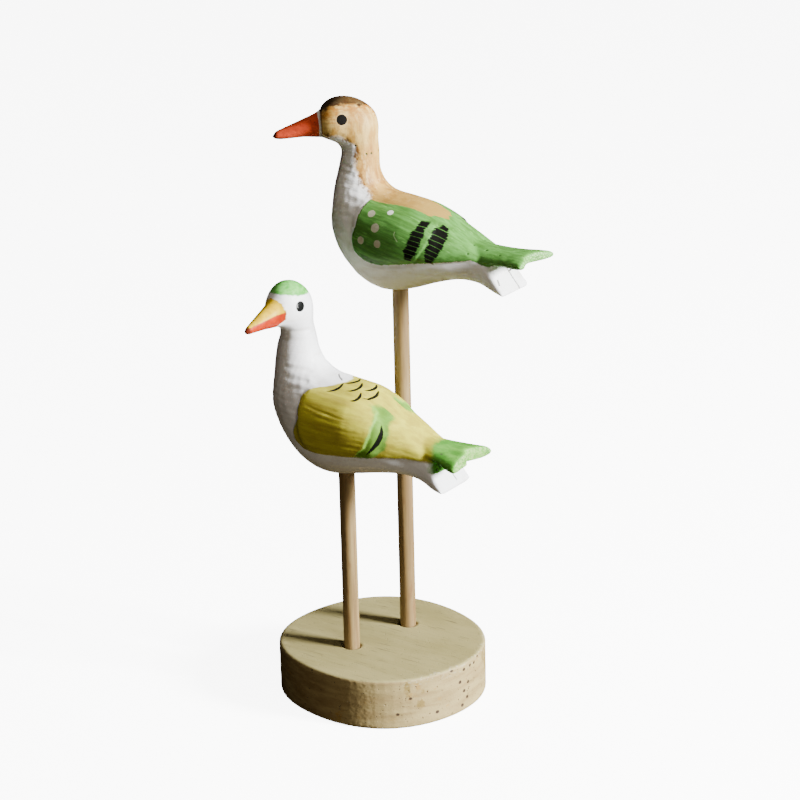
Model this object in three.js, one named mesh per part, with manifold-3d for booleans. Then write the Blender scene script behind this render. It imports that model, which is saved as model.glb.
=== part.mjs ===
// Two carved and painted wooden sea birds, each on its own dowel, over one sawn wooden disc.
// Millimetres, +Z up. The origin is the centre of the disc's underside, and both birds face -X.
import * as THREE from 'three';
import * as BufferGeometryUtils from 'three/addons/utils/BufferGeometryUtils.js';
import Module from 'manifold-3d';

const wasm = await Module();
wasm.setup();

// Disc
const DISC_RADIUS = 40;
const DISC_THICKNESS = 20.4;
const DISC_EDGE = 0.8;
const DISC_SEGMENTS = 72;
// How far the saw wandered off a true circle: waves round the rim, share of the radius, where it peaks
const SAW_WAVES = [
  { waves: 2, share: 0.021, peak: THREE.MathUtils.degToRad(-10) },
  { waves: 3, share: 0.007, peak: THREE.MathUtils.degToRad(-17) },
  { waves: 4, share: 0.0164, peak: THREE.MathUtils.degToRad(31) },
];

// Dowels
const DOWEL_RADIUS = 3.15;
const DOWEL_SEGMENTS = 24;
const DISC_HOLE_DEPTH = 13;
const BIRD_HOLE_DEPTH = 12;
const CLEARANCE = 0.3;

// Each bird: where its dowel stands, how high its belly hangs, and what sets it apart from the other.
// Turns are in degrees, and a positive head turn looks towards -Y.
const UPPER_BELLY_HEIGHT = 159.4;
const LOWER_BELLY_HEIGHT = 92.9;
const BIRDS = [
  {
    name: 'bird_upper',
    dowel: 'dowel_tall',
    x: 1.4,
    y: 16.0,
    bellyHeight: UPPER_BELLY_HEIGHT,
    headTurn: 37,
    headScale: 1,
    headTall: 1,
    beakLength: 17.2,
    beakDroop: 12,
    neckLean: 0,
    chestOut: 0,
    backLift: 0,
    tailDrop: 0,
    tailShort: 0,
    tailWide: 0,
    ventDeep: 0,
    wingDrop: 0,
    tipsLonger: 0,
    tipsThick: 0.8,
    tipsSunk: 0,
    nearShort: 1.4,
    nearDroop: 0.1,
    notchDepth: 4.2,
    notchNear: 1.3,
    notchFar: 1.0,
    colour: 0x6fb05a,
  },
  {
    name: 'bird_lower',
    dowel: 'dowel_short',
    x: -5.9,
    y: -12.7,
    bellyHeight: LOWER_BELLY_HEIGHT,
    headTurn: 85,
    headScale: 0.88,
    headTall: 1.06,
    beakLength: 15.6,
    beakDroop: 12,
    neckLean: 4.1,
    chestOut: 3.2,
    backLift: 0.3,
    tailDrop: 3.2,
    tailShort: 1.7,
    tailWide: 0.7,
    ventDeep: 1.9,
    wingDrop: 1.4,
    tipsLonger: -2.8,
    tipsThick: 2.4,
    tipsSunk: 0.5,
    nearShort: 3.0,
    nearDroop: 1.8,
    notchDepth: 5,
    notchNear: 4,
    notchFar: 1.0,
    colour: 0xd8cf6a,
  },
];

// The bird's side view, from the tail's edge to the top of the neck. Each station is one slice
// through the wood: its back point and its underside point, then its half width and how square it is.
const BODY = [
  { at: 'tail edge', back: [51.2, 9.1], under: [51.6, 7.4], half: 9.3, square: 4 },
  { at: 'tail', back: [48.1, 14.0], under: [46.6, 8.2], half: 9.2, square: 3.6 },
  { at: 'tail root', back: [44.6, 19.6], under: [39.8, 10.0], half: 8.9, square: 3.2 },
  { at: 'rump', back: [36.2, 24.5], under: [33.0, 10.3], half: 10.2, square: 2.8 },
  { at: 'vent', back: [28.4, 28.8], under: [27.0, 9.2], half: 12.6, square: 2.3 },
  { at: 'hip', back: [19.5, 33.5], under: [18.3, 6.5], half: 15.2, square: 2.2 },
  { at: 'belly', back: [10.6, 36.8], under: [8.2, 2.9], half: 17.0, square: 2.2 },
  { at: 'breast', back: [3.2, 38.0], under: [-4.0, 1.0], half: 17.4, square: 2.2 },
  { at: 'shoulder', back: [-2.6, 38.9], under: [-14.2, 4.8], half: 16.8, square: 2.1 },
  { at: 'crop', back: [-6.4, 40.4], under: [-22.6, 13.2], half: 15.0, square: 2 },
  { at: 'neck base', back: [-8.6, 43.0], under: [-27.9, 24.6], half: 12.0, square: 2 },
  { at: 'neck low', back: [-9.6, 47.0], under: [-27.5, 37.6], half: 9.3, square: 2 },
  { at: 'neck', back: [-9.6, 52.6], under: [-24.9, 48.8], half: 7.8, square: 2 },
];

// The head, from the throat to the beak, measured from the middle of the throat
const HEAD = [
  { at: 'throat', back: [7.0, 2.0], under: [-7.4, -2.2], half: 7.5, square: 2 },
  { at: 'jaw', back: [7.1, 7.2], under: [-9.6, 0.6], half: 8.1, square: 2 },
  { at: 'nape', back: [5.4, 12.4], under: [-11.6, 1.7], half: 8.6, square: 2 },
  { at: 'crown', back: [-0.4, 16.8], under: [-13.2, 2.2], half: 8.5, square: 2 },
  { at: 'brow', back: [-7.3, 18.0], under: [-14.2, 2.4], half: 7.4, square: 2 },
  { at: 'forehead', back: [-12.4, 16.0], under: [-14.9, 2.5], half: 6.0, square: 2 },
  { at: 'beak base', back: [-15.6, 12.5], under: [-15.8, 2.5], half: 4.9, square: 2 },
];
const THROAT = [-16.9, 56.2];

// The beak tapers from the last slice of the head: share of its length, of the height and of the width
const BEAK = [
  { share: 0.35, height: 0.68, width: 0.72 },
  { share: 0.7, height: 0.42, width: 0.46 },
  { share: 0.94, height: 0.24, width: 0.26 },
  { share: 1.0, height: 0.11, width: 0.12 },
];

// Slivers thinner than this are merged away where solids were joined
const SIMPLIFY = 0.05;
const WELD = 0.01;
const SLICES_PER_STATION = 3;
const SLICE_POINTS = 20;

// A folded wing, raised off the side of the body. Its front panel of small feathers stands
// higher than the long feathers behind it and ends in a step. The raise dies away towards the back.
const WING = {
  front: -10.6,
  rear: 43,
  frontRound: 9,
  lowFront: 14.6,
  lowRear: 20.0,
  topFront: 0.84,
  topRear: 0.9,
  raise: 1.2,
  raiseAtTop: 0.35,
  behindStep: 0.45,
  step: 21,
  stepBow: 2.2,
  edge: 1.6,
  depth: 3,
  columns: 20,
  rows: 8,
};

// The two wing tips lie side by side over the tail as one forked plate. The one on the -Y side is
// a little shorter.
const TIPS = {
  stations: [
    { at: 'inside the back', x: 27, top: 27.0, half: 5.0, thick: 5.0, crown: 3.4 },
    { at: 'root', x: 35, top: 24.9, half: 7.4, thick: 4.6, crown: 3.2 },
    { at: 'bend', x: 42, top: 23.7, half: 8.5, thick: 4.2, crown: 1.9 },
    { at: 'spread', x: 51, top: 23.2, half: 9.2, thick: 3.9, crown: 0.9 },
    { at: 'end', x: 61, top: 23.1, half: 11.2, thick: 3.0, crown: 0.4 },
    { at: 'rounded end', x: 62, top: 22.7, half: 10.7, thick: 2.2, crown: 0.4 },
  ],
  slices: 14,
  points: 24,
  forkFrom: 43,
  dropShare: 0.78,
};

function solidFrom(geometry) {
  const bare = geometry.clone();
  bare.deleteAttribute('normal');
  bare.deleteAttribute('uv');
  const merged = BufferGeometryUtils.mergeVertices(bare, 1e-4);
  return new wasm.Manifold(new wasm.Mesh({
    numProp: 3,
    vertProperties: Float32Array.from(merged.attributes.position.array),
    triVerts: Uint32Array.from(merged.index.array),
  }));
}

// Corners closer together than WELD become one corner, and the triangles that this flattens go
function geometryFrom(solid) {
  const mesh = solid.getMesh();
  const corners = [];
  const place = [];
  for (let i = 0; i < mesh.vertProperties.length; i += 3) {
    const corner = new THREE.Vector3().fromArray(mesh.vertProperties, i);
    let at = corners.findIndex((c) => c.distanceToSquared(corner) < WELD * WELD);
    if (at < 0) at = corners.push(corner) - 1;
    place.push(at);
  }
  const faces = [];
  for (let i = 0; i < mesh.triVerts.length; i += 3) {
    const [a, b, c] = [0, 1, 2].map((k) => place[mesh.triVerts[i + k]]);
    if (a !== b && b !== c && c !== a) faces.push(a, b, c);
  }
  const geometry = new THREE.BufferGeometry().setFromPoints(corners);
  geometry.setIndex(faces);
  geometry.computeVertexNormals();
  return geometry;
}

// A closed skin over rings that have the same number of points
function skin(rings) {
  const count = rings[0].length;
  const faces = [];
  for (let r = 0; r < rings.length - 1; r += 1) {
    for (let k = 0; k < count; k += 1) {
      const a = r * count + k;
      const b = r * count + ((k + 1) % count);
      faces.push(a, b, b + count, a, b + count, a + count);
    }
  }
  // Each end is closed by rungs from one side of the ring to the other
  const last = (rings.length - 1) * count;
  for (let k = 0; k < count / 2; k += 1) {
    const [a, b, c, d] = [k, k + 1, count - k - 1, (count - k) % count];
    if (a !== d) faces.push(a, d, b, last + a, last + b, last + d);
    if (b !== c) faces.push(b, d, c, last + b, last + c, last + d);
  }
  const geometry = new THREE.BufferGeometry().setFromPoints(rings.flat());
  geometry.setIndex(faces);
  return geometry;
}

// Every station of one bird in order from tail to beak, posed but with its head still facing forward
function stationsOf(bird) {
  const place = (name) => BODY.findIndex((s) => s.at === name);
  const body = BODY.map((s, i) => {
    const lean = bird.neckLean * THREE.MathUtils.clamp((i - place('shoulder')) / 4, 0, 1);
    const out = bird.chestOut * THREE.MathUtils.clamp((i - place('breast')) / 3, 0, 1);
    const drop = bird.tailDrop * THREE.MathUtils.clamp((place('belly') - i) / place('belly'), 0, 1);
    const lift = bird.backLift * THREE.MathUtils.clamp(1.6 - Math.abs(i - place('breast')) * 0.5, 0, 1);
    const short = bird.tailShort * THREE.MathUtils.clamp((place('rump') - i) / 2, 0, 1);
    const wide = bird.tailWide * THREE.MathUtils.clamp((place('rump') - i) / 2, 0, 1);
    const deep = bird.ventDeep * THREE.MathUtils.clamp(1.6 - Math.abs(i - place('rump')) * 0.5, 0, 1);
    const reach = (i >= place('neck low') ? lean : Math.max(lean, out)) + short;
    return {
      back: new THREE.Vector3(s.back[0] - lean - short, 0, s.back[1] + lift - drop),
      under: new THREE.Vector3(s.under[0] - reach, 0, s.under[1] - drop - deep),
      form: new THREE.Vector3(s.half + wide, s.square, 0),
    };
  });
  const throat = new THREE.Vector3(THROAT[0] - bird.neckLean, 0, THROAT[1]);
  const size = new THREE.Vector3(bird.headScale, 1, bird.headTall);
  const head = HEAD.map((s) => ({
    back: new THREE.Vector3(s.back[0], 0, s.back[1]).multiply(size).add(throat),
    under: new THREE.Vector3(s.under[0], 0, s.under[1]).multiply(size).add(throat),
    form: new THREE.Vector3(s.half * bird.headScale, s.square, 0),
  }));
  const base = head.at(-1);
  const middle = base.back.clone().add(base.under).multiplyScalar(0.5);
  const up = base.back.clone().sub(base.under).multiplyScalar(0.5);
  const droop = THREE.MathUtils.degToRad(bird.beakDroop);
  const forward = new THREE.Vector3(-Math.cos(droop), 0, -Math.sin(droop)).multiplyScalar(bird.beakLength);
  const beak = BEAK.map((s) => {
    const centre = middle.clone().addScaledVector(forward, s.share);
    return {
      back: centre.clone().addScaledVector(up, s.height),
      under: centre.clone().addScaledVector(up, -s.height),
      form: new THREE.Vector3(base.form.x * s.width, 2, 0),
    };
  });
  return [...body, ...head, ...beak];
}

// Smooth curves through the stations, and the slice at a share of the way from tail to beak
function curvesOf(bird) {
  const stations = stationsOf(bird);
  const along = (key) => new THREE.CatmullRomCurve3(stations.map((s) => s[key]), false, 'centripetal');
  const count = stations.length - 1;
  return { back: along('back'), under: along('under'), form: along('form'), count };
}

function slice(curves, share) {
  const back = curves.back.getPoint(share);
  const under = curves.under.getPoint(share);
  const form = curves.form.getPoint(share);
  return {
    centre: back.clone().add(under).multiplyScalar(0.5),
    up: back.clone().sub(under).multiplyScalar(0.5),
    half: form.x,
    square: form.y,
  };
}

const rounded = (value, square) => Math.sign(value) * Math.abs(value) ** (2 / square);

function bodySkin(bird) {
  const curves = curvesOf(bird);
  const steps = curves.count * SLICES_PER_STATION;
  const neckShare = BODY.length / curves.count;
  const turnFrom = (BODY.length - 4) / curves.count;
  const turnTo = (BODY.length + 1.5) / curves.count;
  const pivot = slice(curves, neckShare).centre;
  const headTurn = THREE.MathUtils.degToRad(bird.headTurn);
  const rings = [];
  for (let i = 0; i <= steps; i += 1) {
    const share = i / steps;
    const s = slice(curves, share);
    const turn = headTurn * THREE.MathUtils.smoothstep(share, turnFrom, turnTo);
    const ring = [];
    for (let k = 0; k < SLICE_POINTS; k += 1) {
      const angle = (2 * Math.PI * k) / SLICE_POINTS;
      const point = s.centre.clone().addScaledVector(s.up, rounded(Math.cos(angle), s.square));
      point.y += s.half * rounded(Math.sin(angle), s.square);
      point.sub(pivot).applyAxisAngle(new THREE.Vector3(0, 0, 1), turn).add(pivot);
      ring.push(point);
    }
    rings.push(ring);
  }
  return skin(rings);
}

// The body's surface on its -Y side, at a length along the bird and a height share from -1 to 1
function flank(curves, x, share) {
  let low = 0;
  let high = (BODY.length - 3) / curves.count;
  for (let i = 0; i < 30; i += 1) {
    const middle = (low + high) / 2;
    const s = slice(curves, middle);
    if (s.centre.x + s.up.x * share > x) low = middle;
    else high = middle;
  }
  const s = slice(curves, (low + high) / 2);
  const side = (1 - Math.abs(share) ** s.square) ** (1 / s.square);
  const point = new THREE.Vector3(x, -s.half * side, s.centre.z + s.up.z * share);
  const steep = Math.abs(share) ** (s.square - 1) * Math.sign(share);
  const outward = new THREE.Vector3(0, -(side ** (s.square - 1)) / s.half, steep / s.up.z).normalize();
  return { point, outward };
}

// The height share at which the body's side reaches a given height
function shareAtHeight(curves, x, height) {
  let low = -1;
  let high = 1;
  for (let i = 0; i < 24; i += 1) {
    const middle = (low + high) / 2;
    if (flank(curves, x, middle).point.z < height) low = middle;
    else high = middle;
  }
  return (low + high) / 2;
}

// The lower and upper edge of the wing at a length along the bird, as angles round the slice
function wingEdges(bird, curves, x) {
  const along = (x - WING.front) / (WING.rear - WING.front);
  const lowRear = WING.lowRear - bird.wingDrop - 0.8 * bird.tailDrop;
  const low = THREE.MathUtils.lerp(WING.lowFront - bird.wingDrop, lowRear, along);
  const lower = Math.acos(shareAtHeight(curves, x, low));
  const upper = Math.acos(Math.min(0.98, THREE.MathUtils.lerp(WING.topFront, WING.topRear, along)));
  const fromFront = THREE.MathUtils.clamp((WING.front + WING.frontRound - x) / WING.frontRound, 0, 1);
  const open = (1 - fromFront ** 2.6) ** (1 / 2.6);
  const middle = (lower + upper) / 2;
  return { lower: middle + (lower - middle) * open, upper: middle + (upper - middle) * open };
}

// A solid that follows the body's side: its outer face stands off the body and its inner face
// lies inside the wood, so that joining the two leaves only the raised wing
function wingSolid(bird) {
  const curves = curvesOf(bird);
  const outer = [];
  const inner = [];
  for (let i = 0; i <= WING.columns; i += 1) {
    const share = i / WING.columns;
    const x0 = THREE.MathUtils.lerp(WING.front + 0.05, WING.rear, share ** 1.25);
    const edges = wingEdges(bird, curves, x0);
    for (let j = 0; j <= WING.rows; j += 1) {
      const across = j / WING.rows;
      const angle = THREE.MathUtils.lerp(edges.lower, edges.upper, across);
      const bow = WING.stepBow * Math.sin(Math.PI * across) * Math.exp(-(((x0 - WING.step) / 14) ** 2));
      const x = x0 + bow;
      const { point, outward } = flank(curves, x, Math.cos(angle));
      const rim = Math.min(across, 1 - across) * Math.abs(edges.lower - edges.upper) * 14;
      const fromRim = Math.min(rim, x0 - WING.front);
      const round = Math.sqrt(THREE.MathUtils.clamp(fromRim / WING.edge, 0, 1));
      const lift = x0 < WING.step + 0.1 ? WING.raise : WING.behindStep;
      const fade = THREE.MathUtils.lerp(1, WING.raiseAtTop, THREE.MathUtils.smoothstep(across, 0.5, 1));
      outer.push(point.clone().addScaledVector(outward, lift * fade * (0.25 + 0.75 * round)));
      inner.push(point.clone().addScaledVector(outward, -WING.depth));
    }
  }
  const wide = WING.rows + 1;
  const count = outer.length;
  const faces = [];
  const quad = (a, b, c, d) => faces.push(a, b, c, a, c, d);
  for (let i = 0; i < WING.columns; i += 1) {
    for (let j = 0; j < WING.rows; j += 1) {
      const k = i * wide + j;
      quad(k, k + wide, k + wide + 1, k + 1);
      quad(count + k, count + k + 1, count + k + wide + 1, count + k + wide);
    }
    const low = i * wide;
    const high = low + WING.rows;
    quad(low, count + low, count + low + wide, low + wide);
    quad(high, high + wide, count + high + wide, count + high);
  }
  for (let j = 0; j < WING.rows; j += 1) {
    const last = WING.columns * wide;
    quad(j, j + 1, count + j + 1, count + j);
    quad(last + j, count + last + j, count + last + j + 1, last + j + 1);
  }
  const geometry = new THREE.BufferGeometry().setFromPoints([...outer, ...inner]);
  geometry.setIndex(faces);
  return solidFrom(geometry);
}

// The forked plate, drawn from above and then tilted down towards its tips
function tipsSolid(bird) {
  const stations = TIPS.stations.map((s) => ({ ...s, x: s.x + (s.x > TIPS.forkFrom ? bird.tipsLonger : 0) }));
  const lengthwise = new THREE.CatmullRomCurve3(stations.map((s) => new THREE.Vector3(s.x, s.top, s.half)));
  const across = new THREE.CatmullRomCurve3(stations.map((s) => new THREE.Vector3(s.thick, s.crown, 0)));
  const end = stations.at(-1).x;
  const rings = [];
  for (let i = 0; i <= TIPS.slices; i += 1) {
    const share = i / TIPS.slices;
    const { x: along, y: top, z: half } = lengthwise.getPoint(share);
    const { x: slim, y: crown } = across.getPoint(share);
    const forked = THREE.MathUtils.smoothstep(along, TIPS.forkFrom, end);
    const thick = slim + forked * bird.tipsThick;
    const ring = [];
    for (let k = 0; k < TIPS.points; k += 1) {
      // From the far edge over the top to the near edge, and back underneath
      const round = (2 * k) / TIPS.points;
      const u = round <= 1 ? 1 - 2 * round : 2 * round - 3;
      const y = half * (0.25 * u + 0.75 * Math.sin((Math.PI * u) / 2));
      const outwards = Math.abs(y) / half;
      const fullness = Math.max(0, 1 - outwards ** 3.2) ** (1 / 2.4);
      const surface = (thick / 2) * fullness * (round <= 1 ? 1 : -1);
      const near = THREE.MathUtils.smoothstep(-y / half, 0, 0.35);
      const narrow = y < 0 ? bird.notchNear : bird.notchFar;
      const notch = bird.notchDepth * Math.max(0, 1 - outwards * narrow);
      const back = forked * (notch + bird.nearShort * near);
      const droop = crown * outwards ** 2.5 + forked * bird.nearDroop * near * outwards ** 1.5;
      const sunk = bird.tailDrop * TIPS.dropShare + forked * bird.tipsSunk;
      const z = top - thick / 2 + surface - droop - sunk;
      ring.push(new THREE.Vector3(along - back, y, z));
    }
    rings.push(ring);
  }
  return solidFrom(skin(rings));
}

// Joining forms can close small pockets inside the wood: only the outermost skin is kept
function outerSkin(solid) {
  return solid.decompose().reduce((best, piece) => (piece.volume() > best.volume() ? piece : best));
}

function mirroredAcross(solid) {
  return solid.mirror([0, 1, 0]);
}

function boreSolid(radius, depth, segments, from, x, y) {
  const geometry = new THREE.CylinderGeometry(radius, radius, depth, segments);
  geometry.rotateX(Math.PI / 2);
  geometry.translate(x, y, from + depth / 2);
  return solidFrom(geometry);
}

function paint(colour) {
  return new THREE.MeshStandardMaterial({ color: colour, roughness: 0.6, metalness: 0 });
}

function named(name, geometry, colour) {
  const mesh = new THREE.Mesh(geometry, paint(colour));
  mesh.name = name;
  return mesh;
}

// A bird's own origin is the point where its dowel enters the underside of the body
function birdMesh(bird) {
  const wing = wingSolid(bird);
  const below = 5;
  const bore = boreSolid(DOWEL_RADIUS + CLEARANCE, BIRD_HOLE_DEPTH + below, DOWEL_SEGMENTS, -below, 0, 0);
  const joined = wasm.Manifold.union([
    solidFrom(bodySkin(bird)),
    wing,
    mirroredAcross(wing),
    tipsSolid(bird),
  ]);
  const body = outerSkin(joined.subtract(bore).simplify(SIMPLIFY));
  const mesh = named(bird.name, geometryFrom(body), bird.colour);
  mesh.position.set(bird.x, bird.y, bird.bellyHeight);
  return mesh;
}

// The disc as it was sawn: a circle with a few slow waves in its rim, its edges just broken
function discRadius(angle) {
  const waves = SAW_WAVES.reduce((sum, w) => sum + w.share * Math.cos(w.waves * (angle - w.peak)), 0);
  return DISC_RADIUS * (1 + waves);
}

function discMesh() {
  const rim = Array.from({ length: DISC_SEGMENTS }, (_, i) => {
    const angle = (2 * Math.PI * i) / DISC_SEGMENTS;
    const radius = discRadius(angle);
    return new THREE.Vector2(radius * Math.cos(angle), radius * Math.sin(angle));
  });
  const board = new THREE.ExtrudeGeometry(new THREE.Shape(rim), {
    depth: DISC_THICKNESS - 2 * DISC_EDGE,
    bevelThickness: DISC_EDGE,
    bevelSize: DISC_EDGE,
    bevelOffset: -DISC_EDGE,
    bevelSegments: 2,
  });
  board.translate(0, 0, DISC_EDGE);
  const floor = DISC_THICKNESS - DISC_HOLE_DEPTH;
  const holes = BIRDS.map((bird) => (
    boreSolid(DOWEL_RADIUS + CLEARANCE, DISC_HOLE_DEPTH + 5, DOWEL_SEGMENTS, floor, bird.x, bird.y)
  ));
  const disc = solidFrom(board).subtract(wasm.Manifold.union(holes));
  return named('disc', geometryFrom(disc), 0xd8cdb4);
}

// Each dowel stands on the floor of its hole and ends just short of the top of the bird's hole
function dowelMesh(bird) {
  const foot = DISC_THICKNESS - DISC_HOLE_DEPTH;
  const top = bird.bellyHeight + BIRD_HOLE_DEPTH - CLEARANCE;
  const geometry = new THREE.CylinderGeometry(DOWEL_RADIUS, DOWEL_RADIUS, top - foot, DOWEL_SEGMENTS);
  geometry.rotateX(Math.PI / 2);
  geometry.translate(bird.x, bird.y, (foot + top) / 2);
  return named(bird.dowel, geometry, 0xb08a5a);
}

const figurine = new THREE.Group();
figurine.name = 'bird_figurine';
figurine.add(discMesh());
for (const bird of BIRDS) {
  figurine.add(dowelMesh(bird));
  figurine.add(birdMesh(bird));
}

export default figurine;
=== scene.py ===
# %% [markdown]
# Two painted wooden sea birds on dowels over a sawn disc. The imported solids come first: they are
# the frame that every piece made here is built on.

# %% The frame
import math

import bpy
import numpy as np
from mathutils import Matrix, Vector, noise
from mathutils.bvhtree import BVHTree


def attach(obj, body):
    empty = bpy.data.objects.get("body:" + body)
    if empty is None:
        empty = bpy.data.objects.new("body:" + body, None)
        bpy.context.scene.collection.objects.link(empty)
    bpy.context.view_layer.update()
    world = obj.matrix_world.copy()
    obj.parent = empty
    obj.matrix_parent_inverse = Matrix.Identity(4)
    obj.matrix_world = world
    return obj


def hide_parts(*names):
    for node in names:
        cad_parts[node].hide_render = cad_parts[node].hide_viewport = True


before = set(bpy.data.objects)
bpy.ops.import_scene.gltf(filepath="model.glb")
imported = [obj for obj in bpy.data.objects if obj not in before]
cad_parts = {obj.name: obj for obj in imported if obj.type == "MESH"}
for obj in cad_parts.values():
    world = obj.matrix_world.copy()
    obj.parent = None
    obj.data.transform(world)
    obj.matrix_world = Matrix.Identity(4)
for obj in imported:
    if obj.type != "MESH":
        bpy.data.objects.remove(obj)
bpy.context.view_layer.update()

MM = 0.001

# %% [markdown]
# The picture was taken from the birds' left side, a little behind them and from above, with a
# long lens. A long lens keeps upright lines nearly parallel. The camera's turn is built from
# three angles, because that is how a photographer would describe it.

# %% The camera
CAMERA_PLACE = Vector((537.4, -767.5, 452.3)) * MM
VIEW_SIDE = 35.0
CAMERA_SIDE = math.radians(VIEW_SIDE - 0.553)
CAMERA_DOWN = math.radians(19.551)
CAMERA_ROLL = math.radians(-1.358)
LENS_MM = 117.0

look = Vector((-math.sin(CAMERA_SIDE) * math.cos(CAMERA_DOWN),
               math.cos(CAMERA_SIDE) * math.cos(CAMERA_DOWN),
               -math.sin(CAMERA_DOWN)))
level = Vector((math.cos(CAMERA_SIDE), math.sin(CAMERA_SIDE), 0.0))
upright = level.cross(look)
right = math.cos(CAMERA_ROLL) * level + math.sin(CAMERA_ROLL) * upright
above = math.cos(CAMERA_ROLL) * upright - math.sin(CAMERA_ROLL) * level

bpy.ops.object.camera_add(location=CAMERA_PLACE)
camera = bpy.context.object
camera.name = "photo_camera"
camera.rotation_euler = Matrix((right, above, -look)).transposed().to_euler()
camera.data.lens = LENS_MM
camera.data.sensor_width = 36.0
camera.data.clip_start = 0.01
bpy.context.scene.camera = camera
print("camera is", round(CAMERA_PLACE.length, 3), "m from the disc")

# %% [markdown]
# Before any look is made, two small helpers: one turns a colour as it is read on a screen into
# the linear numbers that a shader wants, and one adds a shader node with its settings and links.

# %% Colour and node helpers
def linear(hex_colour):
    """A screen colour such as 'd8cdb4' as linear red, green, blue and alpha"""
    parts = [int(hex_colour[i:i + 2], 16) / 255 for i in (0, 2, 4)]
    return tuple(p / 12.92 if p <= 0.04045 else ((p + 0.055) / 1.055) ** 2.4 for p in parts) + (1.0,)


def add(tree, kind, inputs=(), **settings):
    """Adds a node: its settings by name, and its inputs as (socket, value or other socket)"""
    made = tree.nodes.new(kind)
    for name, value in settings.items():
        setattr(made, name, value)
    for socket, value in inputs:
        if isinstance(value, bpy.types.NodeSocket):
            tree.links.new(value, made.inputs[socket])
        else:
            made.inputs[socket].default_value = value
    return made


# %% [markdown]
# The floor is a plain pale sheet and the one strong light is a soft one, low and far to the right,
# a little on the camera's side. It leaves the breasts, which face away from it, in a warm shade.
# The sheet is pale for the eye but throws little light back, so the shade under the bellies stays.

# %% Floor
FLOOR_GLOW = 8.0

bpy.ops.object.select_all(action="DESELECT")
bpy.ops.mesh.primitive_plane_add(size=12.0)
floor = bpy.context.object
floor.name = "floor"
paper = bpy.data.materials.new("white_paper_floor")
paper.use_nodes = True
tree = paper.node_tree
tree.nodes.clear()
pale = add(tree, "ShaderNodeBsdfDiffuse", [("Color", linear("f2f2f0"))])
lift = add(tree, "ShaderNodeEmission", [("Color", linear("ffffff")), ("Strength", FLOOR_GLOW)])
bright = add(tree, "ShaderNodeAddShader", [(0, pale.outputs[0]), (1, lift.outputs[0])])
thrown = add(tree, "ShaderNodeBsdfDiffuse", [("Color", linear("3a3529"))])
eye_or_bounce = add(tree, "ShaderNodeLightPath").outputs["Is Camera Ray"]
sheet = add(tree, "ShaderNodeMixShader", [(0, eye_or_bounce), (1, thrown.outputs[0]),
                                          (2, bright.outputs[0])])
add(tree, "ShaderNodeOutputMaterial", [("Surface", sheet.outputs[0])])
floor.data.materials.append(paper)

# %% Lights
KEY_SIDE = math.radians(66)
KEY_HEIGHT = math.radians(20)
KEY_AWAY = 1.4
AIM_HEIGHT = 0.12


def soft_light(name, side, height, away, size, watts, colour):
    """A square light at an angle to the right of the camera and above the floor, facing the object"""
    right_m = away * math.cos(height) * math.sin(side)
    near_m = away * math.cos(height) * math.cos(side)
    turn = math.radians(VIEW_SIDE)
    place = Vector((right_m * math.cos(turn) + near_m * math.sin(turn),
                    right_m * math.sin(turn) - near_m * math.cos(turn),
                    AIM_HEIGHT + away * math.sin(height)))
    bpy.ops.object.light_add(type="AREA", location=place)
    lamp = bpy.context.object
    lamp.name = name
    lamp.data.size = size
    lamp.data.energy = watts
    lamp.data.color = linear(colour)[:3]
    lamp.rotation_euler = (Vector((0, 0, AIM_HEIGHT)) - place).to_track_quat("-Z", "Y").to_euler()
    print(name, "at", [round(c, 2) for c in place])


soft_light("window_light", KEY_SIDE, KEY_HEIGHT, KEY_AWAY, 0.3, 128.0, "fbfcff")
soft_light("room_light", math.radians(12), math.radians(14), 1.4, 0.5, 3.8, "fff0dc")
soft_light("ceiling_light", math.radians(50), math.radians(65), 1.2, 0.6, 5.0, "fff4e4")

world = bpy.data.worlds.new("warm_room")
bpy.context.scene.world = world
world.use_nodes = True
world.node_tree.nodes.clear()
glow = add(world.node_tree, "ShaderNodeBackground", [("Color", linear("fff2dc")), ("Strength", 0.05)])
add(world.node_tree, "ShaderNodeOutputWorld", [("Surface", glow.outputs[0])])

# %% [markdown]
# The birds were carved and then painted by hand. Their solids are faceted, so each is copied,
# remeshed into small even squares and relaxed until the facets are gone. That keeps the carved
# form and gives enough points for the knife marks that are pressed in afterwards.

# %% A fine copy of a solid
LET_OUT_ROUNDS = 90


def fine_copy(node_name, piece_name, square_mm, rounds, tail_mm=None):
    """A copy of a solid with small even faces, relaxed so that its facets vanish. Beyond tail_mm
    the ends are flat already, so they are relaxed less and their corners stay crisp"""
    bpy.ops.object.select_all(action="DESELECT")
    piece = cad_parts[node_name].copy()
    piece.data = piece.data.copy()
    piece.name = piece_name
    piece.parent = None
    piece.matrix_world = Matrix.Identity(4)
    bpy.context.scene.collection.objects.link(piece)
    bpy.context.view_layer.objects.active = piece
    piece.select_set(True)
    bpy.ops.object.mode_set(mode="EDIT")
    bpy.ops.mesh.select_all(action="SELECT")
    bpy.ops.mesh.remove_doubles(threshold=1e-6)
    bpy.ops.object.mode_set(mode="OBJECT")
    piece.data.materials.clear()
    grid = piece.modifiers.new("even squares", "REMESH")
    grid.mode = "VOXEL"
    grid.voxel_size = square_mm * MM
    bpy.ops.object.modifier_apply(modifier=grid.name)
    relax = piece.modifiers.new("relax", "SMOOTH")
    relax.factor = 0.5
    relax.iterations = rounds
    if tail_mm is not None:
        loose = piece.vertex_groups.new(name="loose")
        x = points_of(piece)[:, 0] - tail_mm
        for share in (0.5, 0.75, 1.0):
            found = np.flatnonzero(np.ceil(np.clip(1 - x / 4, 0.5, 1) * 4) / 4 == share)
            loose.add(found.tolist(), share, "REPLACE")
        relax.vertex_group = loose.name
    bpy.ops.object.modifier_apply(modifier=relax.name)
    let_out(piece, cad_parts[node_name])
    bpy.ops.object.shade_smooth()
    return piece


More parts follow.
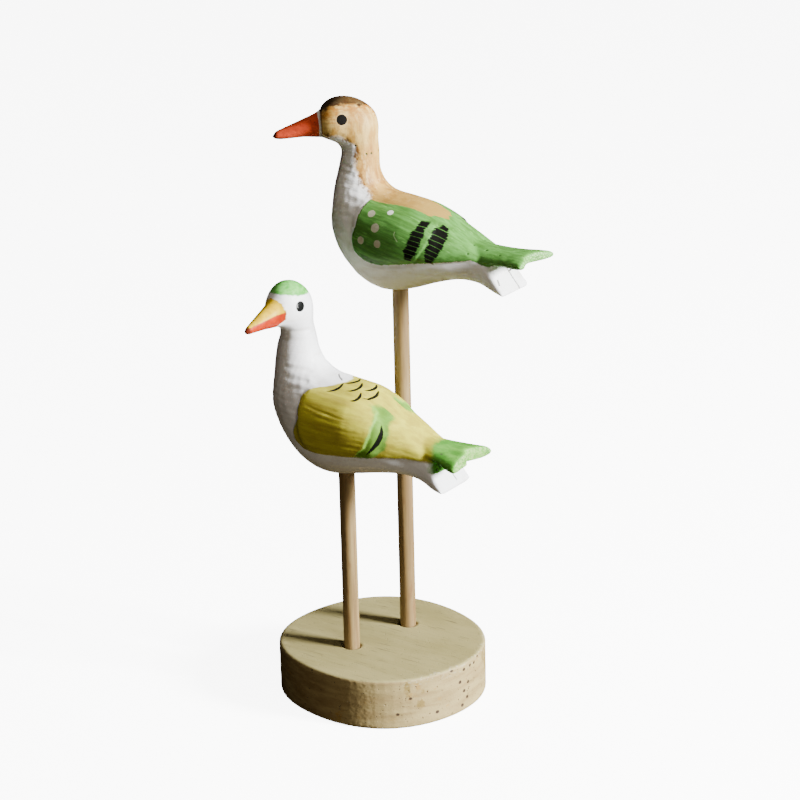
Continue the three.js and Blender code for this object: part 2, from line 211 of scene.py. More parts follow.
def let_out(piece, solid):
    """Relaxing pulls a skin in where it is thin, so it is let out again to the solid's size"""
    corners = [v.co.copy() for v in solid.data.vertices]
    tree = BVHTree.FromPolygons(corners, [tuple(f.vertices) for f in solid.data.polygons])
    off = np.empty(len(piece.data.vertices))
    for i, point in enumerate(piece.data.vertices):
        place, facing, _, _ = tree.find_nearest(point.co)
        off[i] = (point.co - place).dot(facing) / MM
    ends = np.empty(len(piece.data.edges) * 2, int)
    piece.data.edges.foreach_get("vertices", ends)
    a, b = ends.reshape(-1, 2).T
    count = np.bincount(a, minlength=len(off)) + np.bincount(b, minlength=len(off))
    for _ in range(LET_OUT_ROUNDS):
        total = np.bincount(a, off[b], len(off)) + np.bincount(b, off[a], len(off))
        off = 0.4 * off + 0.6 * total / count
    press(piece, off)


def points_of(piece):
    """Every point of a piece as rows of x, y, z in mm"""
    flat = np.empty(len(piece.data.vertices) * 3)
    piece.data.vertices.foreach_get("co", flat)
    return flat.reshape(-1, 3) / MM


def normals_of(piece):
    """The outward direction at every point of a piece"""
    flat = np.empty(len(piece.data.vertices) * 3)
    piece.data.vertices.foreach_get("normal", flat)
    return flat.reshape(-1, 3)


def press(piece, depth_mm):
    """Moves every point inwards by its own depth in mm"""
    moved = (points_of(piece) - normals_of(piece) * depth_mm[:, None]) * MM
    piece.data.vertices.foreach_set("co", moved.ravel())
    piece.data.update()


upper = fine_copy("bird_upper", "upper_bird", 0.42, 20, 47.0)
lower = fine_copy("bird_lower", "lower_bird", 0.46, 17, 38.0)
print("faces:", len(upper.data.polygons), len(lower.data.polygons))

# %% [markdown]
# Both birds are measured in their own millimetres from the point where the dowel enters. The
# head has its own measure too, turned back to face forward, so that the face is the same on both.

# %% A bird's own measures
UPPER = {"dowel": (1.4, 16.0, 159.4), "turn": math.radians(37), "throat": (-16.9, 0.0, 56.2)}
LOWER = {"dowel": (-5.9, -12.7, 92.9), "turn": math.radians(85), "throat": (-21.0, 0.0, 56.2)}


def body_mm(piece, bird):
    """Points from the dowel's entry: tail is +x, far side +y, up +z"""
    return points_of(piece) - np.array(bird["dowel"])


def head_mm(points, bird):
    """Points from the throat, turned back so that the beak points to -x"""
    place = points - np.array(bird["throat"])
    c, s = math.cos(bird["turn"]), math.sin(bird["turn"])
    x, y, z = place.T
    return np.stack([c * x + s * y, c * y - s * x, z], axis=1)


def ease(value, low, high):
    """0 below low, 1 above high, and an easy curve between them"""
    t = np.clip((value - low) / (high - low), 0, 1)
    return t * t * (3 - 2 * t)


def waver(points, size_mm, seed):
    """Slow unevenness between about -1 and 1 whose bumps are size_mm apart"""
    shift = Vector((seed * 7.3, seed * 3.1, seed * 5.7))
    return np.array([noise.noise(Vector(p) / size_mm + shift) for p in points]) * 1.6


# %% [markdown]
# A brush line is drawn through a few points, laid on the surface, and measured: how far each
# point of the bird is from it, and how far along it lies. Where a line is finer than the small
# squares of the surface, those squares are split first.

# %% Lines on the surface
def brush_line(piece, bird, corners, parts=12):
    """A smooth line through a few points in the bird's mm, laid on its surface"""
    known = [np.array(c, float) for c in corners]
    known = [2 * known[0] - known[1]] + known + [2 * known[-1] - known[-2]]
    line = []
    for a, b, c, d in zip(known, known[1:], known[2:], known[3:]):
        for t in np.arange(parts) / parts:
            line.append(0.5 * (2 * b + (c - a) * t + (2 * a - 5 * b + 4 * c - d) * t ** 2
                               + (3 * b - a - 3 * c + d) * t ** 3))
    line.append(known[-2])
    dowel = Vector(bird["dowel"])
    laid = [piece.closest_point_on_mesh((Vector(p) + dowel) * MM)[1] / MM - dowel for p in line]
    return np.array(laid)


def from_line(points, line):
    """Distance in mm to a line, and the share of the line where it is met"""
    nearest = np.full(len(points), 1e6)
    share = np.zeros(len(points))
    count = len(line) - 1
    for i, (a, b) in enumerate(zip(line[:-1], line[1:])):
        step = b - a
        t = np.clip(((points - a) @ step) / max(step @ step, 1e-9), 0, 1)
        away = np.linalg.norm(points - a - t[:, None] * step, axis=1)
        closer = away < nearest
        nearest[closer] = away[closer]
        share[closer] = (i + t[closer]) / count
    return nearest, share


def split_near(piece, bird, lines, reach_mm, cuts):
    """Splits the faces within reach of some lines into smaller ones"""
    centres = np.empty(len(piece.data.polygons) * 3)
    piece.data.polygons.foreach_get("center", centres)
    centres = centres.reshape(-1, 3) / MM - np.array(bird["dowel"])
    close = np.zeros(len(centres), bool)
    for line in lines:
        box = (centres > line.min(0) - reach_mm).all(1) & (centres < line.max(0) + reach_mm).all(1)
        found = np.flatnonzero(box)
        close[found[from_line(centres[found], line)[0] < reach_mm]] = True
    bpy.ops.object.select_all(action="DESELECT")
    bpy.context.view_layer.objects.active = piece
    piece.select_set(True)
    bpy.context.tool_settings.mesh_select_mode = (False, False, True)
    bpy.ops.object.mode_set(mode="EDIT")
    bpy.ops.mesh.select_all(action="DESELECT")
    bpy.ops.object.mode_set(mode="OBJECT")
    piece.data.polygons.foreach_set("select", close)
    bpy.ops.object.mode_set(mode="EDIT")
    bpy.ops.mesh.subdivide(number_cuts=cuts)
    bpy.ops.object.mode_set(mode="OBJECT")
    print(piece.name, "split", int(close.sum()), "faces, now", len(piece.data.polygons))


def keep(piece, name, values):
    """Stores one number for every point, for the paint to read"""
    attribute = piece.data.attributes.new(name, "FLOAT", "POINT")
    attribute.data.foreach_set("value", values.astype(np.float32))


def gouge_cuts(piece, bird, points, gouges, deep_mm, lip_mm):
    """The depth of narrow scoops, each with a raised lip, the same on both sides of the bird"""
    cuts = np.zeros(len(points))
    for gouge in gouges:
        for corners in (gouge, [(x, -y, z) for x, y, z in gouge]):
            away, _ = from_line(points, brush_line(piece, bird, corners, 4))
            cuts += deep_mm * np.exp(-(away / 0.9) ** 2) - lip_mm * np.exp(-((away - 1.6) / 0.7) ** 2)
    return cuts


# %% [markdown]
# Now the borders of the upper bird's paint. Each is a number in mm at every point: above zero
# inside the paint, below zero outside. The green border follows the edge of the folded wing, and
# the wing's edge is also where the knife went in, so the same numbers carve it.

# %% The upper bird's lines
UPPER_CRACKS = [
    [(45.5, 0.6, 17.6), (47.7, 1.7, 14.6), (49.6, 2.2, 11.6), (51.4, 3.2, 7.6)],
    [(47.7, 1.7, 14.6), (47.4, 4.6, 15.0), (47.2, 7.0, 15.2)],
    [(48.4, -7.0, 13.4), (49.2, -7.5, 11.8)],
]
upper_cracks = [brush_line(upper, UPPER, c, 6) for c in UPPER_CRACKS]
scratch_line = brush_line(upper, UPPER, [(9.1, -16.3, 28.6), (9.2, -17.0, 27.3), (10.8, -17.4, 25.4)], 6)
split_near(upper, UPPER, upper_cracks + [scratch_line], 1.0, 3)

# %% Where the upper bird's colours meet
u = body_mm(upper, UPPER)
h = head_mm(u, UPPER)
side = np.abs(u[:, 1])
on_head = ease(u[:, 2], 52, 58)

wing_low = np.interp(u[:, 0], [-10, -6, -1, 3, 16, 30, 38, 42, 60],
                     [19.4, 16.4, 14.9, 14.9, 17.0, 18.7, 20.0, 18.6, 15.6])
wing_front = np.interp(u[:, 2], [15, 19, 23, 29, 33.6, 37.4], [-3.0, -9.2, -10.0, -8.4, -8.3, -6.7])
wing_top = np.interp(u[:, 0], [-7, 4, 13, 18, 20, 22, 23.5, 26], [8.8, 7.5, 6.4, 5.6, 4.4, 2.2, -1.0, -9])
streak = waver(np.stack([u[:, 0] * 0.25, u[:, 1] * 1.5, u[:, 2] * 1.5], axis=1), 2.2, 21)
wing_top = wing_top + 1.8 * streak * ease(u[:, 0], 13, 21)
upper_wing = np.minimum.reduce([u[:, 2] - wing_low, u[:, 0] - wing_front, side - wing_top])
keep(upper, "wing", upper_wing)

nape = u[:, 0] - np.interp(u[:, 2], [30, 36, 38.2, 41.9, 48.2, 56.5],
                           [-5.0, -6.0, -7.4, -11.4, -14.4, -14.6])
jaw = h[:, 2] - np.interp(h[:, 0], [-16, -14.7, -8.2, -4, -1.8, 0, 3], [3.2, 4.4, 4.3, 1.5, 0.3, -4, -12])
cream = np.minimum(nape, u[:, 2] - 30) * (1 - on_head) + jaw * on_head
keep(upper, "cream", np.minimum(cream, np.where(u[:, 2] < 40, 27 - u[:, 0], 9)))
keep(upper, "beak", np.where(u[:, 2] > 52, -15.35 - h[:, 0] - 0.018 * (h[:, 2] - 6.5) ** 2, -9))
crown_half = np.interp(h[:, 0], [-15.4, -14.6, -12.8, -10, -6, 0, 3.5], [1.6, 2.8, 4.4, 5.2, 5.2, 4.2, 0.4])
keep(upper, "crown", np.where(h[:, 2] > 9, crown_half - np.abs(h[:, 1]), -9))
keep(upper, "forehead", -6.5 - h[:, 0])
keep(upper, "face", np.where(u[:, 2] > 50, h[:, 2] - 0.5, -5))
keep(upper, "eye", np.where(np.abs(h[:, 1]) > 4, 1.95 - np.hypot(h[:, 0] + 6.8, h[:, 2] - 10.7), -5))
lores = 0.32 - np.hypot((h[:, 0] + 14.1) * 1.3, np.maximum(np.abs(h[:, 2] - 7.4) - 1.6, 0))
keep(upper, "lores", np.where(np.abs(h[:, 1]) > 2, lores, -5))

UPPER_DOTS = [((-3.0, 13.9, 33.7), 1.6), ((0.5, 16.7, 29.1), 1.75), ((-5.2, 18.0, 23.8), 1.5),
              ((2.4, 18.2, 23.5), 1.5)]
BRIGHT_DOT = ((4.3, 11.8, 34.7), 1.3)
mirror = np.stack([u[:, 0], side, u[:, 2]], axis=1)
keep(upper, "dots", np.max([r - np.linalg.norm(mirror - c, axis=1) for c, r in UPPER_DOTS], axis=0))
keep(upper, "bright_dot", BRIGHT_DOT[1] - np.linalg.norm(mirror - BRIGHT_DOT[0], axis=1))

NECK_SPECKS = [(-11.0, 4.4, 53.2), (-10.1, 2.5, 53.2), (-14.3, 6.9, 56.6)]
PITS = [(36.2, 3.8, 24.5), (41.8, 4.2, 23.2), (48.5, 5.8, 22.8), (36.6, 9.0, 22.4), (41.3, 8.0, 23.1),
        (-1.1, 17.5, 15.7), (12.0, 2.2, 36.6)] + NECK_SPECKS
pits = np.max([0.55 - np.linalg.norm(mirror - c, axis=1) for c in PITS], axis=0)
keep(upper, "pits", pits)

# The far wing's bars end further from the middle of the back than the near wing's.
bars_start = np.where(u[:, 1] > 0, 9, 5)
for name, heights, places in (("bar_1", [19.1, 25.9, 31.9], [15.0, 17.4, 18.4]),
                              ("bar_2", [18.6, 25.1, 30.6], [22.7, 25.1, 24.8])):
    off_bar = u[:, 0] - np.interp(u[:, 2], heights, places)
    keep(upper, name, np.where(side > bars_start, off_bar, 99))
crack_depth = np.max([ease(0.42 - from_line(u, line)[0], 0, 0.3) for line in upper_cracks], axis=0)
keep(upper, "crack", crack_depth)
keep(upper, "scratch", 0.22 - from_line(u, scratch_line)[0])
facing = normals_of(upper)
keep(upper, "tip_end", np.where((u[:, 0] > 50) & (u[:, 2] > 15.0), facing[:, 0], 0))
print("upper bird, share of green points:", round(float((upper_wing > 0).mean()), 2))

# %% [markdown]
# The knife marks. Outside the wing's edge the wood is cut back, the short feathers over the wing
# end in a step, the breast keeps the flat scoops of a gouge, and the tail has split along its grain.

# %% The upper bird's knife marks
crest = np.interp(u[:, 2], [16, 19, 24, 29.2, 32.7, 35], [14.5, 18.2, 21.4, 23.0, 20.9, 17.5])
behind = u[:, 0] - crest
on_flank = ease(side, 4.5, 6.5) * ease(upper_wing, -0.3, 0.8)
step = 0.3 * np.exp(-np.maximum(behind, 0) / 3.0) * ease(behind, -0.5, 0.4) * on_flank
ledge = np.where(upper_wing < 0, 0.38 * np.exp(upper_wing / 1.1), -0.1 * np.exp(-upper_wing / 0.8))
ledge *= ease(u[:, 2], 12, 15) * ease(38 - u[:, 2], 0, 3) * ease(40 - u[:, 0], 0, 4) * ease(side, 5, 8)
scoops = 0.06 * waver(np.stack([u[:, 0] * 0.8, u[:, 1] * 0.6, u[:, 2] * 1.6], axis=1), 5.0, 3)
scoops = scoops * ease(-upper_wing, 0, 2) * ease(47 - u[:, 2], 0, 8) * ease(4 - u[:, 0], 0, 8)
GOUGES = [[(-20.0, -8.0, 49.4), (-16.5, -8.3, 48.4)], [(-19.8, -8.2, 46.2), (-15.4, -8.0, 45.6)],
          [(-14.0, -9.6, 39.6), (-9.0, -8.8, 39.0)], [(-15.0, -11.2, 36.4), (-9.4, -11.4, 36.2)],
          [(-16.5, -11.0, 42.4), (-12.5, -9.6, 42.6)], [(-18.0, -12.5, 31.0), (-12.0, -13.5, 30.5)]]
cuts = gouge_cuts(upper, UPPER, u, GOUGES, 0.15, 0.05)
# The cheeks are full right up to the beak, and the beak's end is a little deeper underneath.
cheeks = 0.9 * ease(-h[:, 0], 4, 12) * ease(15.2 + h[:, 0], 0, 1.6) * ease(np.abs(h[:, 1]), 1.5, 5)
under_tip = 0.7 * ease(-h[:, 0], 19, 30) * ease(-facing[:, 2], -0.2, 0.6)
hollows = 0.45 * crack_depth + 0.3 * ease(pits, 0, 0.4)
press(upper, step + ledge + scoops + cuts + hollows - under_tip - cheeks)

# %% The lower bird's lines
ARCS = [
    [(2.4, -3.2, 37.8), (3.9, -2.3, 37.9), (5.2, -0.6, 37.9), (5.4, 1.8, 37.8), (4.2, 5.0, 37.5)],
    [(-1.2, -10.0, 36.0), (0.4, -9.0, 36.2), (1.8, -7.8, 36.6), (2.7, -6.2, 37.4), (2.3, -3.7, 37.9)],
    [(5.9, -7.0, 36.6), (7.8, -6.2, 36.7), (8.9, -4.3, 36.9), (9.0, -1.7, 37.3), (7.9, 0.9, 37.6)],
    [(11.0, -3.0, 36.5), (12.4, -1.5, 36.2), (13.0, 0.6, 36.1), (12.5, 3.2, 36.0), (11.3, 5.5, 36.1)],
    [(9.8, -10.5, 34.4), (11.2, -9.7, 34.4), (11.9, -8.2, 34.8), (12.0, -6.7, 35.4), (11.5, -5.2, 36.1)],
    [(13.2, -6.9, 34.9), (15.0, -5.4, 34.6), (15.8, -3.3, 34.6), (15.8, -0.9, 34.9), (14.6, 1.9, 35.3)],
]
LOWER_CRACKS = [
    [(46.4, 0.4, 10.4), (47.3, 1.2, 8.9), (48.9, 1.9, 6.6)],
    [(45.2, -5.8, 12.8), (45.9, -5.9, 11.6)],
    [(-3.9, 2.2, 39.1), (-1.7, -0.4, 39.0), (0.4, -1.8, 38.4)],
]
arcs = [brush_line(lower, LOWER, c, 8) for c in ARCS]
lower_cracks = [brush_line(lower, LOWER, c, 6) for c in LOWER_CRACKS]
split_near(lower, LOWER, arcs + lower_cracks, 1.1, 3)

# %% Where the lower bird's colours meet
v = body_mm(lower, LOWER)
k = head_mm(v, LOWER)
side = np.abs(v[:, 1])
low_edge = np.interp(v[:, 0], [-13, -12, -8.5, -2.6, 5, 14.5, 25, 34, 42, 60],
                     [19, 16, 13.6, 13.1, 13.5, 14.2, 15.2, 15.8, 15.4, 12.4])
front_low = np.interp(v[:, 2], [13, 16, 19.2, 22.4, 25.7, 29.4, 33.6, 36.9],
                      [-8.0, -12.1, -13.1, -12.0, -9.6, -10.7, -10.6, -7.5])
front_top = np.interp(side, [0, 1.9, 3.6, 6.2, 7.9, 9.2, 11.1, 13],
                      [3.0, 2.8, 1.7, -0.1, -2.7, -5.2, -8.0, -10.5])
on_top = ease(v[:, 2], 34, 37)
front = front_low * (1 - on_top) + front_top * on_top
lower_wing = np.minimum(v[:, 2] - low_edge, v[:, 0] - front)
keep(lower, "wing", lower_wing)
keep(lower, "tips", np.where(v[:, 2] > 11.4, v[:, 0] - 42.0 - 0.35 * np.maximum(side - 2, 0), -5))
beak_edge = np.interp(k[:, 2], [3.5, 4.8, 6.4, 9, 12, 13.9], [-14.2, -13.0, -11.6, -11.8, -12.4, -13.0])
keep(lower, "beak", np.where(v[:, 2] > 57, np.minimum(beak_edge - k[:, 0], 14.0 - k[:, 2]), -9))
keep(lower, "mouth", 8.9 + (k[:, 0] + 13.0) * 0.19 - k[:, 2])
keep(lower, "beak_tip", -27.2 - k[:, 0])
cap_low = np.interp(k[:, 0], [-13, -10, -6, 0], [15.6, 15.1, 14.3, 13.4])
keep(lower, "cap", np.where(v[:, 2] > 60, k[:, 2] - cap_low, -9))
eye = 1.0 - np.hypot((k[:, 0] + 5.8) / 2.05, (k[:, 2] - 10.2) / 2.05)
keep(lower, "eye", np.where(np.abs(k[:, 1]) > 4, eye * 1.8, -5))
# The glint is a thin moon: one oval less another that lies a little behind it.
glint = np.minimum(0.55 - np.hypot(k[:, 0] + 6.9, (k[:, 2] - 10.6) / 1.5),
                   np.hypot(k[:, 0] + 6.5, (k[:, 2] - 10.5) / 1.4) - 0.55)
keep(lower, "glint", np.where(np.abs(k[:, 1]) > 4, glint, -5))

ink = np.full(len(v), -5.0)
for line in arcs:
    away, share = from_line(v, line)
    ink = np.maximum(ink, 0.56 * np.clip(3.2 * share * (1.15 - share), 0.05, 1) - away)
keep(lower, "ink", ink)
lower_crest = np.interp(v[:, 2], [13, 16, 19, 23.7, 29.2, 31.2, 33.1, 35],
                        [13.5, 16.5, 19.8, 21.3, 21.6, 20.3, 17.4, 14.0])
past = v[:, 0] - lower_crest
band_wide = np.interp(v[:, 2], [13.5, 16, 20, 24, 28, 31, 32.5], [4.5, 7.0, 7.4, 6.4, 4.6, 3.2, 1.0])
band = np.minimum.reduce([past + 0.6, band_wide - past, v[:, 2] - 14.2, 32.6 - v[:, 2]])
band = np.where(side > 4, band, -5)
far_dab = 2.2 - np.hypot((v[:, 0] - 24.0) / 1.5, (v[:, 1] - 8.2) / 0.9)
keep(lower, "band", np.maximum(band, np.where(v[:, 2] > 20, far_dab, -5)))
slash_mid = np.interp(v[:, 2], [15.8, 17.2, 18.7, 20.8, 23.2, 25.3, 27.7, 28.8],
                      [19.5, 21.3, 22.7, 24.2, 25.1, 25.0, 23.9, 23.2])
slash_half = np.interp(v[:, 2], [15.6, 17.5, 20.5, 23.5, 26.0, 29.0], [-0.2, 0.55, 0.95, 0.85, 0.4, -0.2])
keep(lower, "slash", np.where(side > 4, slash_half - np.abs(v[:, 0] - slash_mid), -5))
crack_depth = np.max([ease(0.4 - from_line(v, line)[0], 0, 0.28) for line in lower_cracks], axis=0)
speck = ease(0.6 - np.linalg.norm((v - (48.2, -6.8, 19.4)) * (0.7, 1, 1), axis=1), 0, 0.3)
keep(lower, "crack", np.maximum(crack_depth, speck))
keep(lower, "tip_end", np.where((v[:, 0] > 48) & (v[:, 2] > 12.5), normals_of(lower)[:, 0], 0))
print("lower bird, share of yellow points:", round(float((lower_wing > 0).mean()), 2))

# %% [markdown]
# The lower bird was carved harder: its wing stands proud of the breast, grooves run down the short
# feathers, and a round gouge left close ridges across the breast.

# %% The lower bird's knife marks
on_flank = ease(side, 4.0, 6.5) * ease(lower_wing, -0.3, 1.0)
step = 0.5 * np.exp(-np.maximum(past, 0) / 3.4) * ease(past, -0.5, 0.5) * on_flank
ledge = np.where(lower_wing < 0, 0.3 * np.exp(lower_wing / 1.8), -0.15 * np.exp(-lower_wing / 1.6))
ledge *= ease(v[:, 2], 9, 13) * ease(37 - v[:, 2], 0, 4) * ease(38 - v[:, 0], 0, 6) * ease(side, 6, 9)
slope = np.interp(v[:, 2], [20, 28, 34], [0.05, 0.16, 0.18])
across = v[:, 2] + slope * v[:, 0] + 0.35 * waver(v, 9.0, 5)
ridges = 0.5 + 0.5 * np.cos(across * 2 * math.pi / 2.15)
drawn_out = np.stack([v[:, 0] * 0.3, v[:, 1] * 0.3, v[:, 2]], axis=1)
ridge_depth = 0.24 * np.clip(0.5 + 0.9 * waver(drawn_out, 4.0, 8), 0.0, 1.3)
grooves = ridge_depth * ridges ** 2 * ease(-past, 0.3, 2.5) * ease(lower_wing, 1.0, 4.0)
grooves = grooves * ease(33 - v[:, 2], 0, 4)
rear = 0.12 * (0.5 + 0.5 * np.cos((v[:, 2] + 0.22 * v[:, 0]) * 2 * math.pi / 2.6)) ** 2
rear = rear * ease(past, 6, 12) * ease(25 - v[:, 2], 0, 5) * ease(lower_wing, 0.5, 2.0)
breast = 0.5 + 0.5 * np.cos((v[:, 2] + 0.12 * side + 0.5 * waver(v, 7.0, 11)) * 2 * math.pi / 2.3)
breast = 0.08 * breast ** 1.5 * ease(-lower_wing, 0.6, 3.0) * ease(39 - v[:, 2], 0, 6)
breast = breast * ease(v[:, 2], 10, 16) * ease(-v[:, 0], 2, 8)
collar = 0.35 * np.exp(-((k[:, 2] + 0.4) / 0.8) ** 2) * ease(-k[:, 0], -2, 2) * ease(v[:, 2], 52, 55)
GOUGES = [[(-20.0, -8.6, 42.0), (-11.5, -6.0, 41.2)],
          [(-19.0, -10.8, 38.6), (-11.0, -9.2, 38.2)], [(-18.0, -12.4, 35.2), (-9.4, -12.6, 36.2)]]
cuts = gouge_cuts(lower, LOWER, v, GOUGES, 0.17, 0.06)
press(lower, step + ledge + grooves + rear + breast + collar + cuts + 0.4 * crack_depth)

# %% [markdown]
# The finish. The paint looks like satin acrylic, brushed on in thin coats over carved wood: it shines a
# little on the neck, shows the brush's streaks, and gives way to the coat below at its borders.

# %% Paint in layers
def new_paint(name, origin_mm=(0.0, 0.0, 0.0)):
    """A new material, its node tree, and the place on the piece in mm from an origin"""
    material = bpy.data.materials.new(name)
    material.use_nodes = True
    made = material.node_tree
    made.nodes.clear()
    place = add(made, "ShaderNodeTexCoord")
    own = add(made, "ShaderNodeMapping", [("Vector", place.outputs["Object"]),
                                          ("Location", [-c for c in origin_mm]),
                                          ("Scale", (1 / MM,) * 3)])
    return material, made, own.outputs[0]


def math_of(made, operation, *values):
    """One sum, product or other calculation"""
    return add(made, "ShaderNodeMath", list(enumerate(values)), operation=operation).outputs[0]


def times(made, one, other):
    """The product of two masks, or of a mask and a share"""
    return math_of(made, "MULTIPLY", one, other)


def noise_of(made, place, stretch, detail=3.0, rough=0.5):
    """Noise whose grains are 1 / stretch mm long in x, y and z"""
    pulled = add(made, "ShaderNodeVectorMath", [(0, place), (1, stretch)], operation="MULTIPLY")
    return add(made, "ShaderNodeTexNoise", [("Vector", pulled.outputs[0]), ("Scale", 1.0),
                                            ("Detail", detail), ("Roughness", rough)]).outputs[0]


def between(made, value, low, high, to_low=0.0, to_high=1.0):
    """A value eased from low..high to another range"""
    return add(made, "ShaderNodeMapRange", [("Value", value), ("From Min", low), ("From Max", high),
                                            ("To Min", to_low), ("To Max", to_high)],
               interpolation_type="SMOOTHSTEP").outputs[0]


def patches(made, place, stretch, detail, rough, low, high):
    """A mask of uneven patches: the noise's values from low to high, spread over 0 to 1"""
    return between(made, noise_of(made, place, stretch, detail, rough), low, high)


def ragged(made, signed, place, wobble_mm, soft_mm, stretch=(0.7, 0.7, 0.7)):
    """A mask from a border in mm, with an edge that wanders by wobble_mm"""
    grain = noise_of(made, place, stretch, 4.0, 0.6)
    sway = math_of(made, "MULTIPLY_ADD", grain, 4 * wobble_mm, -2 * wobble_mm)
    return between(made, math_of(made, "ADD", signed, sway), -soft_mm, soft_mm)


def coat(made, under, over, mask):
    """One coat of paint over another where the mask says"""
    return add(made, "ShaderNodeMix", [(0, mask), (6, under), (7, over)], data_type="RGBA").outputs[2]


def tint(made, under, hex_colour, mask, share=None):
    """One coat of a plain colour, as strong as its share, where the mask says"""
    if share is not None:
        mask = times(made, mask, share)
    return coat(made, under, linear(hex_colour), mask)


def streaky(made, place, dark, light, stretch, low=0.35, high=0.65):
    """Brush streaks between two colours, drawn out along the stroke"""
    hairs = noise_of(made, place, stretch, 5.0, 0.62)
    return coat(made, linear(dark), linear(light), between(made, hairs, low, high))


def border(made, name):
    """The stored border of one colour"""
    return add(made, "ShaderNodeAttribute", attribute_name=name).outputs["Fac"]


def finish_paint(made, colour, roughness, height, deep_mm, shine=0.5):
    """The satin coat itself, with the faint relief of the brush"""
    relief = add(made, "ShaderNodeBump", [("Strength", 1.0), ("Distance", deep_mm * MM),
                                          ("Height", height)])
    shader = add(made, "ShaderNodeBsdfPrincipled", [("Base Color", colour), ("Roughness", roughness),
                                                    ("Normal", relief.outputs[0]),
                                                    ("Specular IOR Level", shine), ("IOR", 1.48)])
    add(made, "ShaderNodeOutputMaterial", [("Surface", shader.outputs[0])])


# %% The upper bird's paint
satin_upper, tree, own = new_paint("brushed_satin_acrylic_green_bird", UPPER["dowel"])
# White all over first, with painted shade under the belly.
white = streaky(tree, own, "d6d3cb", "e8e8e6", (0.12, 0.12, 0.3), 0.25, 0.55)
where = add(tree, "ShaderNodeSeparateXYZ", [(0, own)]).outputs
belly_shade = between(tree, where[2], 15.0, 6.0, 0.0, 0.6)
belly_shade = times(tree, belly_shade, between(tree, where[0], 44.0, 32.0))
white = tint(tree, white, "b0a584", belly_shade)
# The tan of the back and the head, browner low on the back and yellower on the face.
stroke = noise_of(tree, own, (0.28, 0.28, 0.07), 5.0, 0.6)
tan = coat(tree, linear("946a30"), linear("b6904b"), between(tree, stroke, 0.36, 0.56))
tan = tint(tree, tan, "cfb27c", patches(tree, own, (0.5, 0.5, 0.1), 5.0, 0.7, 0.54, 0.7))
above_back = between(tree, where[2], 34.0, 42.0)
tan = coat(tree, linear("9c7e3c"), tan, above_back)
face = coat(tree, linear("a67f3c"), linear("c2a25e"), between(tree, stroke, 0.42, 0.56))
tan = coat(tree, tan, face, between(tree, border(tree, "face"), -1.5, 1.5))
hairs = patches(tree, own, (1.3, 1.3, 0.13), 3.0, 0.6, 0.58, 0.68)
tan = tint(tree, tan, "7d6140", times(tree, hairs, above_back), 0.45)
colour = coat(tree, white, tan, ragged(tree, border(tree, "cream"), own, 0.7, 1.1))
# Brown is rubbed into the tan's edge, and mottles it for a few mm further in.
rim = math_of(tree, "ABSOLUTE", math_of(tree, "ADD", border(tree, "cream"), -0.3))
grime = patches(tree, own, (0.5, 0.5, 0.35), 4.0, 0.7, 0.46, 0.62)
grime = times(tree, between(tree, rim, 2.4, 0.2), grime)
colour = tint(tree, colour, "64431a", grime)
mottle = patches(tree, own, (0.3, 0.3, 0.6), 5.0, 0.75, 0.5, 0.64)
mottle = times(tree, mottle, between(tree, border(tree, "cream"), 7.0, 0.5))
mottle = times(tree, mottle, above_back)
mottle = times(tree, mottle, between(tree, border(tree, "cream"), -0.2, 0.3))
colour = tint(tree, colour, "8c6326", mottle, 0.7)
# The crown is nearly black, thinner behind, with a golden fringe and a blotched hem.
gold = between(tree, border(tree, "crown"), -5.0, -0.6)
gold = times(tree, gold, patches(tree, own, (0.35, 0.35, 0.9), 5.0, 0.7, 0.4, 0.58))
colour = tint(tree, colour, "96601c", gold, 0.9)
crown = ragged(tree, border(tree, "crown"), own, 0.6, 0.9, (0.5, 0.5, 0.5))
solid = between(tree, border(tree, "forehead"), -3.5, 2.0, 0.84, 0.95)
colour = tint(tree, colour, "281c12", times(tree, crown, solid))
hem = math_of(tree, "ABSOLUTE", math_of(tree, "ADD", border(tree, "crown"), -0.2))
hem = between(tree, hem, 0.9, 0.2)
blotch = patches(tree, own, (0.4, 0.4, 0.8), 4.0, 0.7, 0.46, 0.54)
colour = tint(tree, colour, "33210f", times(tree, hem, blotch))

# The green was brushed along the wing, at a slant, in several shades.
slant = (0, math.radians(-15), 0)
stroke_way = add(tree, "ShaderNodeMapping", [("Vector", own), ("Rotation", slant)]).outputs[0]
green = streaky(tree, stroke_way, "42702c", "589242", (0.045, 0.6, 0.6))
green = tint(tree, green, "6ba552", patches(tree, stroke_way, (0.05, 1.3, 1.3), 4.0, 0.6, 0.56, 0.72))
green = tint(tree, green, "2e5a1c", patches(tree, stroke_way, (0.12, 0.9, 0.9), 4.0, 0.7, 0.64, 0.72), 0.5)
speckle = patches(tree, own, (1.6, 1.6, 1.6), 3.0, 0.7, 0.48, 0.62)
ends = times(tree, between(tree, border(tree, "tip_end"), 0.35, 0.7), speckle)
green = tint(tree, green, "a9d08a", ends, 0.8)
painted = ragged(tree, border(tree, "wing"), own, 0.3, 0.22, (0.25, 0.8, 0.8))
colour = coat(tree, colour, green, painted)

# The dots are chalky.
chalk = between(tree, noise_of(tree, own, (1.2, 1.2, 1.2), 2.0, 0.6), 0.2, 0.7, 0.75, 0.95)
dots = times(tree, ragged(tree, border(tree, "dots"), own, 0.1, 0.14), chalk)
colour = tint(tree, colour, "b9b49e", dots)
bright_dot = times(tree, ragged(tree, border(tree, "bright_dot"), own, 0.15, 0.16), chalk)
colour = tint(tree, colour, "e6e9dc", bright_dot)

# %% [markdown]
# The two black bars on each wing were combed: a flat brush loaded with black was pulled across
# over and over, so each bar is a stack of short dashes with hair-thin gaps and ragged ends.

# %% The combed bars
DASH_MM = 1.62


